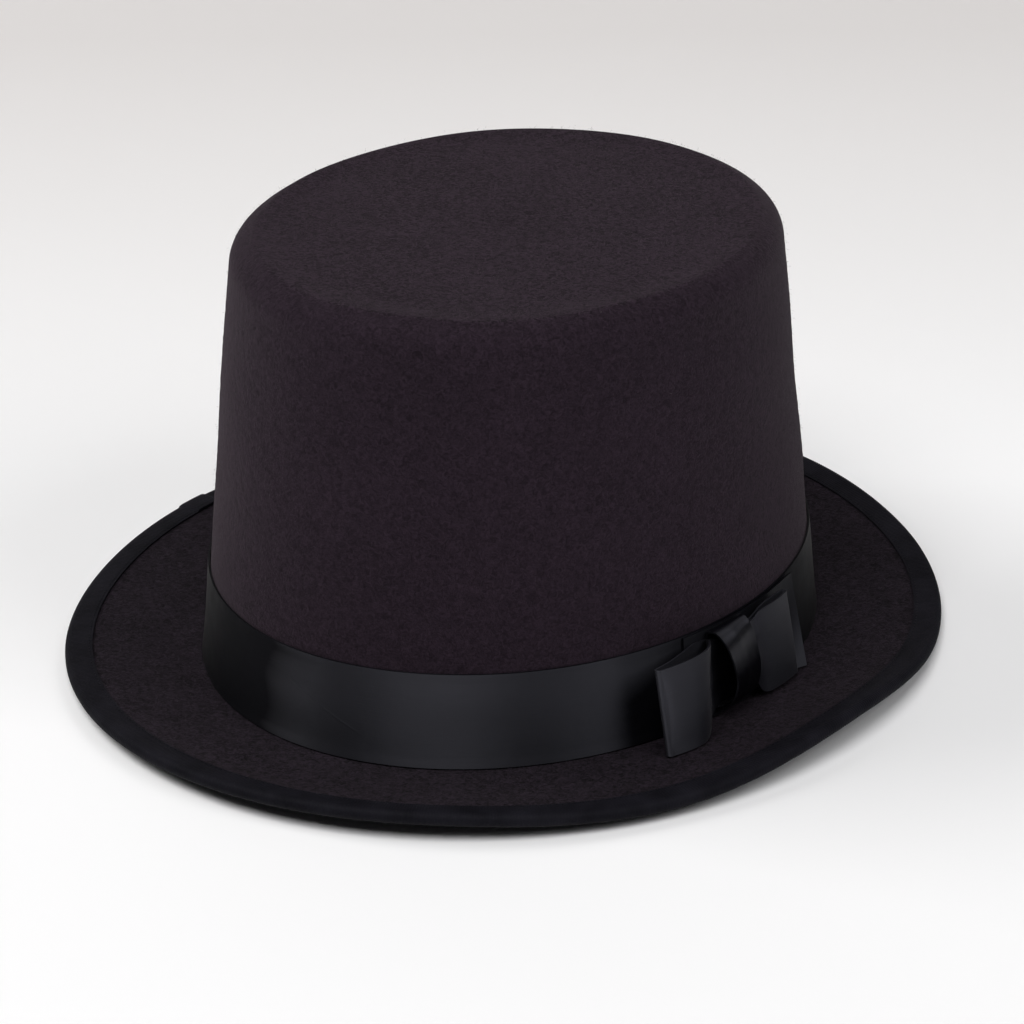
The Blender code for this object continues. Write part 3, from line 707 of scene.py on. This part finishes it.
# --- band ---------------------------------------------------------------------------------------
def build_band():
    theta = ring_angles(320)
    rows = 26
    share = np.linspace(0.0, 1.0, rows)[None, :]
    z = BAND_FOOT + BAND_WIDTH * share
    t = theta[:, None]
    slack = waves(t, 1.5 * share, 5, 0.10 * MM, 2, 8)
    slack = slack + 0.12 * MM * np.clip(1.0 - 4.0 * share, 0.0, 1.0) ** 2
    stand = GAP + RIBBON + np.maximum(slack, -0.08 * MM)
    selvedge = np.where((share < 0.05) | (share > 0.95), 0.10 * MM, 0.0)
    outside = np.zeros((len(theta), rows, 3))
    inside = np.zeros((len(theta), rows, 3))
    for j in range(rows):
        zj = z[0, j] + 0.0 * theta
        outside[:, j] = oval(theta, zj, stand[:, j] + selvedge[0, j])
        inside[:, j] = oval(theta, zj, stand[:, j] - RIBBON + 0.1 * MM)
    points = np.concatenate([outside, inside[:, ::-1]], axis=1)
    body = section_ring("hatband_ribbon", points, SATIN_BAND)
    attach(body, "root")
    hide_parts("hatband")
    return body


# --- bow ----------------------------------------------------------------------------------------
BOW_CENTRE = 9.3 * MM
KNOT_WIDTH = 14.7 * MM
KNOT_LEAN = 2.5 * MM
KNOT_LEAN_FROM, KNOT_LEAN_TO = 14.0 * MM, 27.0 * MM
KNOT_TWIST = 0.28
# The loops' and under ribbon's runs in mm. Each row is along and stand of the upper edge, the same for
# the lower edge, and then how far a loop's ribbon is spread, or the height of the under ribbon's foot.
# The loops' corners started from positions solved from the photo; the rest was set one by one.
PINCH_LOW, PINCH_HIGH = 5.9 * MM, 26.2 * MM
OPEN_LOW, OPEN_HIGH = 1.7 * MM, 28.8 * MM
FRONT_LOOP = (
    (0.8, 2.5, 0.8, 2.5, 0.0), (8.0, 2.5, 8.0, 2.5, 0.0), (14.0, 3.6, 14.0, 3.8, 0.6),
    (20.0, 5.6, 20.0, 6.4, 1.0), (27.0, 8.4, 27.0, 9.6, 1.0), (33.0, 10.9, 32.5, 12.1, 1.0),
    (38.0, 12.7, 37.2, 13.7, 1.0), (38.8, 13.2, 38.0, 14.2, 1.0), (38.9, 13.9, 38.1, 14.9, 1.0),
    (38.3, 14.4, 37.5, 15.4, 1.0), (37.4, 14.3, 36.6, 15.3, 1.0), (31.0, 13.5, 30.8, 14.7, 1.0),
    (25.0, 12.4, 26.0, 13.8, 1.0), (20.0, 10.6, 22.2, 12.0, 1.0), (16.4, 8.4, 19.0, 9.4, 1.0),
    (14.2, 6.2, 16.6, 6.6, 0.95), (12.8, 4.6, 14.2, 4.8, 0.65), (8.0, 3.6, 8.0, 3.6, 0.0),
    (0.8, 3.6, 0.8, 3.6, 0.0))
BACK_LOOP = (
    (0.8, 2.5, 0.8, 2.5, 0.0), (8.0, 2.5, 8.0, 2.5, 0.0), (14.0, 2.7, 14.0, 2.9, 0.8),
    (19.5, 3.0, 20.5, 3.6, 1.0), (24.8, 3.5, 27.6, 4.8, 1.0), (25.6, 3.8, 28.4, 5.1, 1.0),
    (25.9, 4.4, 28.7, 5.7, 1.0), (25.5, 4.95, 28.0, 6.25, 1.0), (24.6, 5.2, 26.8, 6.4, 1.0),
    (19.5, 5.1, 19.5, 6.0, 1.0), (13.0, 4.6, 13.6, 5.3, 1.0), (10.0, 4.1, 10.4, 4.4, 0.8),
    (8.0, 3.6, 8.0, 3.6, 0.0), (0.8, 3.6, 0.8, 3.6, 0.0))
KNOT = ((1.5, 20.0), (1.5, 27.2), (2.1, 28.5), (3.8, 28.7), (5.6, 27.6), (6.9, 25.6), (7.6, 22.8),
        (8.0, 19.0), (8.1, 14.5), (7.4, 9.6), (5.6, 5.6), (3.6, 3.4), (2.1, 3.0), (1.5, 4.3),
        (1.5, 8.0))
UNDER_RIBBON = (
    (-18.0, 0.45, -18.0, 0.45, 0.2), (-13.5, 0.45, -13.5, 0.45, 0.2), (-9.0, 0.45, -9.0, 0.45, 0.2),
    (-4.5, 0.45, -4.5, 0.45, 0.2), (0.0, 0.45, 0.0, 0.45, 0.2), (4.5, 0.45, 4.5, 0.45, 0.2),
    (9.0, 0.45, 9.0, 0.45, 0.2), (13.5, 0.45, 13.5, 0.45, 0.2), (18.0, 0.45, 18.0, 0.45, 0.2),
    (22.5, 0.45, 22.0, 0.7, 0.25), (27.0, 0.5, 26.0, 1.7, 0.4), (31.0, 0.6, 29.5, 3.2, 0.6),
    (34.0, 0.75, 32.0, 4.8, 0.8), (36.5, 1.0, 34.2, 6.5, 1.0))


def band_face_x(y, z):
    share = (z - ROOT_Z) / HEIGHT
    stand = GAP + RIBBON
    half_x = HALF_X * (1.0 + (TIP_X_RATIO - 1.0) * share) + stand
    half_y = HALF_Y * (1.0 + (TIP_Y_RATIO - 1.0) * share) + stand
    return half_x * np.sqrt(1.0 - (y / half_y) ** 2)


def bow_points(along, stand, height):
    y = -BOW_CENTRE - along
    z = BAND_FOOT + height
    y, z, stand = np.broadcast_arrays(y, z, stand)
    return np.stack([band_face_x(y, z) + stand, y, z], axis=-1)


def smooth(x):
    x = np.clip(x, 0.0, 1.0)
    return x * x * (3.0 - 2.0 * x)


def through(stations, count):
    """A smooth run of rows through a list of stations."""
    rows = np.array(stations, float)
    at = np.linspace(0.0, len(rows) - 1.0, count)
    first = np.minimum(at.astype(int), len(rows) - 2)
    part = (at - first)[:, None]
    before = rows[np.maximum(first - 1, 0)]
    here = rows[first]
    after = rows[first + 1]
    beyond = rows[np.minimum(first + 2, len(rows) - 1)]
    return (here * (2.0 * part ** 3 - 3.0 * part ** 2 + 1.0)
            + 0.5 * (after - before) * (part ** 3 - 2.0 * part ** 2 + part)
            + after * (3.0 * part ** 2 - 2.0 * part ** 3)
            + 0.5 * (beyond - here) * (part ** 3 - part ** 2))


def edge_roll(across):
    """Slightly thicker woven edges on a ribbon."""
    share = np.linspace(0.0, 1.0, across)
    return 1.0 + 0.2 * ((share < 0.05) | (share > 0.95))


def build_loop(name, node, side, stations, cupped, seed, material):
    run = through(stations, 110)
    across = 30
    v = np.linspace(0.0, 1.0, across)[None, :]
    spread = np.clip(run[:, 4:5], 0.0, 1.0)
    low = PINCH_LOW + (OPEN_LOW - PINCH_LOW) * spread
    high = PINCH_HIGH + (OPEN_HIGH - PINCH_HIGH) * spread
    along = (run[:, 2:3] + (run[:, 0:1] - run[:, 2:3]) * v) * MM
    stand = (run[:, 3:4] + (run[:, 1:2] - run[:, 3:4]) * v) * MM
    place = np.linspace(0.0, 1.0, len(run))[:, None]
    outer = smooth((place - 0.52) / 0.06)
    belly = 4.0 * v * (1.0 - v)
    pleat = (1.0 - spread) * np.sin(v * 5.0 * math.pi + seed) * 0.22 * MM
    fan = spread * (1.0 - smooth((along / MM - 12.0) / 14.0)) * np.sin(v * 7.0 + seed) * 0.35 * MM
    drift = waves(place * 9.0, v * 1.2, 40 + int(seed * 10), 0.14 * MM, 1, 3)
    stand = stand + pleat + outer * spread * (cupped * belly + fan + drift)
    centre = bow_points(side * along, stand, low + (high - low) * v)
    body = ribbon_solid(name, centre, grid_normals(centre), edge_roll(across)[None, :] + 0.0 * along,
                        0.5 * MM, material)
    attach(body, "root")
    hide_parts(node)
    return body


def build_under_ribbon():
    run = through(UNDER_RIBBON, 90)
    across = 24
    v = np.linspace(0.0, 1.0, across)[None, :]
    along = (run[:, 2:3] + (run[:, 0:1] - run[:, 2:3]) * v) * MM
    stand = (run[:, 3:4] + (run[:, 1:2] - run[:, 3:4]) * v + 0.15) * MM
    foot = run[:, 4:5] * MM
    centre = bow_points(-along, stand, foot + (BAND_WIDTH - 0.2 * MM - foot) * v)
    body = ribbon_solid("bow_under_ribbon_cloth", centre, grid_normals(centre),
                        edge_roll(across)[None, :] + 0.0 * along, 0.5 * MM, SATIN_UNDER)
    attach(body, "root")
    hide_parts("bow_under_ribbon")
    return body


def build_knot():
    outline = through(KNOT, 90) * MM
    stand = outline[:, 0:1]
    height = outline[:, 1:2]
    across = 26
    edge = np.linspace(-1.0, 1.0, across)[None, :]
    behind = KNOT[0][0] * MM
    lifted = behind + (stand - behind) * (1.0 + KNOT_TWIST * edge)
    front = smooth((stand - 3.0 * MM) / (3.0 * MM))
    crease = front * (0.10 * np.sin(edge * 5.0 + 0.8) + 0.03 * np.sin(edge * 11.0)) * MM
    lean = KNOT_LEAN * np.clip((height - KNOT_LEAN_FROM) / (KNOT_LEAN_TO - KNOT_LEAN_FROM), 0.0, 1.0)
    centre = bow_points(0.5 * KNOT_WIDTH * edge + lean, lifted + crease, height)
    body = ribbon_solid("bow_knot_ribbon", centre, grid_normals(centre),
                        edge_roll(across)[None, :] + 0.0 * stand, 0.5 * MM, SATIN_KNOT)
    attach(body, "root")
    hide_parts("bow_knot")
    return body


# --- inside -------------------------------------------------------------------------------------
LINING_DEPTH = 2.3 * MM
LINING = 0.4 * MM
LINING_FALL = 1.95 * MM            # how far the middle of the tip's lining hangs down
SWEAT_DEPTH = 2.9 * MM
SWEAT = 0.8 * MM
REED_RADIUS = 0.72 * MM


def build_lining():
    theta = ring_angles(288)
    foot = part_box("lining_side")[0].z
    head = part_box("lining_side")[1].z
    rows = 40
    share = np.linspace(0.0, 1.0, rows)[None, :]
    t = theta[:, None]
    gather = (0.5 + 0.5 * np.sin(t * 36.0 + 1.3 * np.sin(5.0 * t))) * smooth((share - 0.55) / 0.45)
    drape = 0.5 + 0.5 * waves(t, 2.0 * share, 21, 1.0, 3, 9)
    inward = 0.9 * MM * gather + 0.5 * MM * np.clip(drape, 0.0, 2.0) * np.sin(math.pi * share)
    outside = np.zeros((len(theta), rows, 3))
    inside = np.zeros((len(theta), rows, 3))
    for j in range(rows):
        z = foot + (head - foot) * share[0, j] + 0.0 * theta
        outside[:, j] = oval(theta, z, -LINING_DEPTH - inward[:, j])
        inside[:, j] = oval(theta, z, -LINING_DEPTH - LINING - inward[:, j])
    points = np.concatenate([outside, inside[:, ::-1]], axis=1)
    side = section_ring("lining_side_satin", points, SATIN_LINING)
    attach(side, "root")
    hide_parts("lining_side")

    wall_top = TIP_Z - EDGE
    theta = ring_angles(192)
    outside = crown_surface(theta, LINING_DEPTH, 1, 8, 24, wall_top - LINING)
    inside = crown_surface(theta, LINING_DEPTH + LINING, 1, 8, 24, wall_top - LINING)
    t = theta[:, None]
    for surface in (outside, inside):
        radius = np.hypot(surface[..., 0], surface[..., 1])
        share = radius / radius.max(axis=1, keepdims=True)
        pucker = np.sin(t * 30.0 + 2.0 * np.sin(3.0 * t)) * smooth((share - 0.6) / 0.4)
        fall = (1.0 - share ** 2) * 1.6 * MM
        surface[..., 2] -= fall + 0.35 * MM * (1.0 + pucker) * smooth((1.0 - share) * 6.0)
    points = np.concatenate([outside, inside[:, ::-1]], axis=1)
    top = (0.0, 0.0, TIP_Z - LINING_DEPTH - LINING_FALL)
    bottom = (0.0, 0.0, TIP_Z - LINING_DEPTH - LINING - LINING_FALL)
    tip = section_cap("lining_tip_satin", points, top, bottom, SATIN_LINING)
    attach(tip, "root")
    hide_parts("lining_tip")


def build_sweatband():
    theta = ring_angles(256)
    foot = sweat_low.z
    head = sweat_high.z
    rows = 26
    share = np.linspace(0.0, 1.0, rows)[None, :]
    t = theta[:, None]
    lean = 0.8 * MM * smooth((share - 0.5) / 0.5) * (0.6 + 0.4 * np.sin(3.0 * t + 0.7))
    emboss = 0.18 * MM * np.exp(-((share - 0.90) / 0.012) ** 2)
    outside = np.zeros((len(theta), rows, 3))
    inside = np.zeros((len(theta), rows, 3))
    seam = np.exp(-((theta - 0.5 * math.pi) * 95.0 * MM / (1.2 * MM)) ** 2)[:, None] * 0.35 * MM
    for j in range(rows):
        z = foot + (head - foot) * share[0, j] + 0.0 * theta
        outside[:, j] = oval(theta, z, -SWEAT_DEPTH - lean[:, j])
        inside[:, j] = oval(theta, z, -SWEAT_DEPTH - SWEAT - lean[:, j] + emboss[0, j] + seam[:, 0])
    points = np.concatenate([outside, inside[:, ::-1]], axis=1)
    body = section_ring("sweatband_leather_strip", points, LEATHER)
    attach(body, "root")
    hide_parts("sweatband")

    centre_z = 0.5 * (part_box("sweatband_reed")[0].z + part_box("sweatband_reed")[1].z)
    around = np.linspace(0.0, 2.0 * math.pi, 12, endpoint=False)
    points = np.zeros((len(theta), len(around), 3))
    for k, turn in enumerate(around):
        twist = 0.06 * MM * np.sin(theta * 260.0 + 2.0 * turn)
        radius = REED_RADIUS + twist
        offset = oval(theta, ROOT_Z + 0.0 * theta, -SWEAT_DEPTH - 0.5 * SWEAT + radius * math.cos(turn))
        points[:, k, :2] = offset[:, :2]
        points[:, k, 2] = centre_z + radius * math.sin(turn)
    reed = section_ring("sweatband_reed_welt", points, LEATHER_REED)
    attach(reed, "root")
    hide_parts("sweatband_reed")


def stitches(name, points, directions, length, radius, material):
    """A row of small rounded stitches, each a short capsule of thread."""
    verts = []
    faces = []
    profile = ((-0.5, 0.25), (-0.38, 0.8), (-0.15, 1.0), (0.15, 1.0), (0.38, 0.8), (0.5, 0.25))
    sides = 6
    for point, direction in zip(points, directions):
        axis = Vector(direction).normalized()
        across = axis.cross(Vector((0.0, 0.0, 1.0)))
        if across.length < 1e-4:
            across = axis.cross(Vector((1.0, 0.0, 0.0)))
        across.normalize()
        up = axis.cross(across)
        first = len(verts)
        for share, scale in profile:
            for k in range(sides):
                turn = 2.0 * math.pi * k / sides
                arm = (across * math.cos(turn) + up * math.sin(turn)) * radius * scale
                verts.append(tuple(Vector(point) + axis * (length * share) + arm))
        for r in range(len(profile) - 1):
            for k in range(sides):
                k2 = (k + 1) % sides
                a = first + r * sides
                faces.append((a + k, a + k2, a + sides + k2, a + sides + k))
        faces.append(tuple(first + k for k in reversed(range(sides))))
        last = first + (len(profile) - 1) * sides
        faces.append(tuple(last + k for k in range(sides)))
    body = mesh_object(name, verts, faces, material)
    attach(body, "root")
    return body


def build_stitching():
    theta = ring_angles(300)
    z = ROOT_Z + 1.6 * MM + 0.0 * theta
    inner = oval(theta, z, -SWEAT_DEPTH - SWEAT + 0.05 * MM)
    ahead = np.roll(inner, -1, 0) - inner
    row = stitches("sweatband_stitches", inner, ahead, 1.3 * MM, 0.16 * MM, THREAD)

    brim = Brim(ring_angles(420))
    along = (brim.width - BINDING_WIDTH + 1.0 * MM)[:, None]
    for name, depth in (("binding_stitches_top", -GAP - BINDING - 0.02 * MM),
                        ("binding_stitches_under", BRIM_THICKNESS + GAP + BINDING + 0.02 * MM)):
        line = brim.points(along, depth + 0.0 * along)[:, 0]
        ahead = np.roll(line, -1, 0) - line
        row = stitches(name, line, ahead, 1.2 * MM, 0.13 * MM, THREAD)


# --- stage, light, camera -----------------------------------------------------------------------
SWEEP_STEPS = 20
SWEEP_TURNS = 12
SWEEP_STRIPS = 12


def build_stage():
    span = SWEEP_BACK - SWEEP_FRONT
    profile = [(SWEEP_FRONT + span * i / SWEEP_STEPS, 0.0) for i in range(SWEEP_STEPS + 1)]
    for i in range(1, SWEEP_TURNS + 1):
        turn = 0.5 * math.pi * i / SWEEP_TURNS
        profile.append((SWEEP_BACK + SWEEP_CURVE * math.sin(turn), SWEEP_CURVE * (1.0 - math.cos(turn))))
    profile.append((SWEEP_BACK + SWEEP_CURVE, SWEEP_TOP))
    azimuth = math.radians(CAMERA_AZIMUTH)
    away = Vector((-math.sin(azimuth), math.cos(azimuth), 0.0))
    right = Vector((math.cos(azimuth), math.sin(azimuth), 0.0))
    verts = []
    for d, z in profile:
        for k in range(SWEEP_STRIPS + 1):
            point = away * d + right * SWEEP_HALF_WIDTH * (2.0 * k / SWEEP_STRIPS - 1.0)
            verts.append((point.x, point.y, z))
    faces = []
    row = SWEEP_STRIPS + 1
    for i in range(len(profile) - 1):
        for k in range(SWEEP_STRIPS):
            a = i * row + k
            faces.append((a, a + 1, a + row + 1, a + row))
    floor = mesh_object("floor_sweep", verts, faces, floor_material("floor_paper_painted_falloff", away))


LIGHT_AIM = Vector((0.0, 0.0, 0.07))
LIGHT_DISTANCE = 4.0


def toward(azimuth, elevation):
    """The direction out from the hat at an azimuth and elevation in degrees."""
    a = math.radians(azimuth)
    e = math.radians(elevation)
    return Vector((math.sin(a) * math.cos(e), -math.cos(a) * math.cos(e), math.sin(e)))


def area_light(name, azimuth, elevation, size, power, colour):
    data = bpy.data.lights.new(name, "AREA")
    data.shape = "RECTANGLE"
    data.size = size[0]
    data.size_y = size[1]
    data.energy = power
    data.color = colour
    light = bpy.data.objects.new(name, data)
    place = LIGHT_AIM + toward(azimuth, elevation) * LIGHT_DISTANCE
    light.location = place
    light.rotation_euler = (LIGHT_AIM - place).to_track_quat("-Z", "Y").to_euler()
    bpy.context.scene.collection.objects.link(light)


CAMERA_AZIMUTH = 38.0
CAMERA_ELEVATION = 25.45
CAMERA_DISTANCE = 1.289
CAMERA_ROLL = -0.62
CAMERA_HEIGHT = 38.7 * MM          # the point looked at, above the floor and right of the hat's middle
CAMERA_SIDESTEP = 0.23 * MM
LENS = 147.66


def build_camera():
    a = math.radians(CAMERA_AZIMUTH)
    back = toward(CAMERA_AZIMUTH, CAMERA_ELEVATION)
    right = Vector((math.cos(a), math.sin(a), 0.0))
    target = Vector((CENTRE.x, CENTRE.y, CAMERA_HEIGHT)) + right * CAMERA_SIDESTEP
    data = bpy.data.cameras.new("camera")
    data.lens = LENS
    data.sensor_width = 36.0
    data.clip_end = 50.0
    camera = bpy.data.objects.new("camera", data)
    roll = math.radians(CAMERA_ROLL)
    up = back.cross(right)
    x_axis = right * math.cos(roll) + up * math.sin(roll)
    y_axis = back.cross(x_axis)
    turn = Matrix((x_axis, y_axis, back)).transposed()
    camera.matrix_world = Matrix.Translation(target + back * CAMERA_DISTANCE) @ turn.to_4x4()
    bpy.context.scene.collection.objects.link(camera)
    bpy.context.scene.camera = camera


def build_light():
    world = bpy.data.worlds.new("studio")
    world.use_nodes = True
    world.node_tree.nodes["Background"].inputs[0].default_value = (0.95, 0.95, 0.97, 1.0)
    world.node_tree.nodes["Background"].inputs[1].default_value = 0.03
    bpy.context.scene.world = world
    area_light("overhead", CAMERA_AZIMUTH - 18.0, 60.0, (2.6, 2.2), 112.0, (1.0, 1.0, 1.0))
    area_light("key_left", CAMERA_AZIMUTH - 103.0, 40.0, (2.2, 2.0), 66.0, (1.0, 0.995, 0.985))
    area_light("fill_right", CAMERA_AZIMUTH + 58.0, 40.0, (2.2, 2.0), 50.0, (0.985, 0.99, 1.0))
    bpy.context.scene.view_settings.view_transform = "Standard"


build_camera()
build_stage()
build_light()
build_crown()
brim_layer("brim_top_felt_cloth", "brim_top_felt", 0.0, BRIM_FELT, 31)
brim_layer("brim_under_felt_cloth", "brim_under_felt", BRIM_THICKNESS - BRIM_FELT, BRIM_THICKNESS, 31)
build_binding()
build_band()
build_under_ribbon()
build_loop("bow_loop_front_ribbon", "bow_loop_front", 1.0, FRONT_LOOP, 0.5 * MM, 0.4, SATIN_BOW_FRONT_LIT)
build_loop("bow_loop_back_ribbon", "bow_loop_back", -1.0, BACK_LOOP, 0.3 * MM, 1.7, SATIN_BOW_LIT)
build_knot()
build_lining()
build_sweatband()
build_stitching()
build_fuzz()

BUCKRAM = buckram_material("buckram_weave")
for node in ("crown_side_stiffener", "crown_tip_stiffener", "brim_stiffener"):
    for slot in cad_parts[node].material_slots:
        slot.material = BUCKRAM
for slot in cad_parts["brim_wire"].material_slots:
    slot.material = wire_material("drawn_wire")
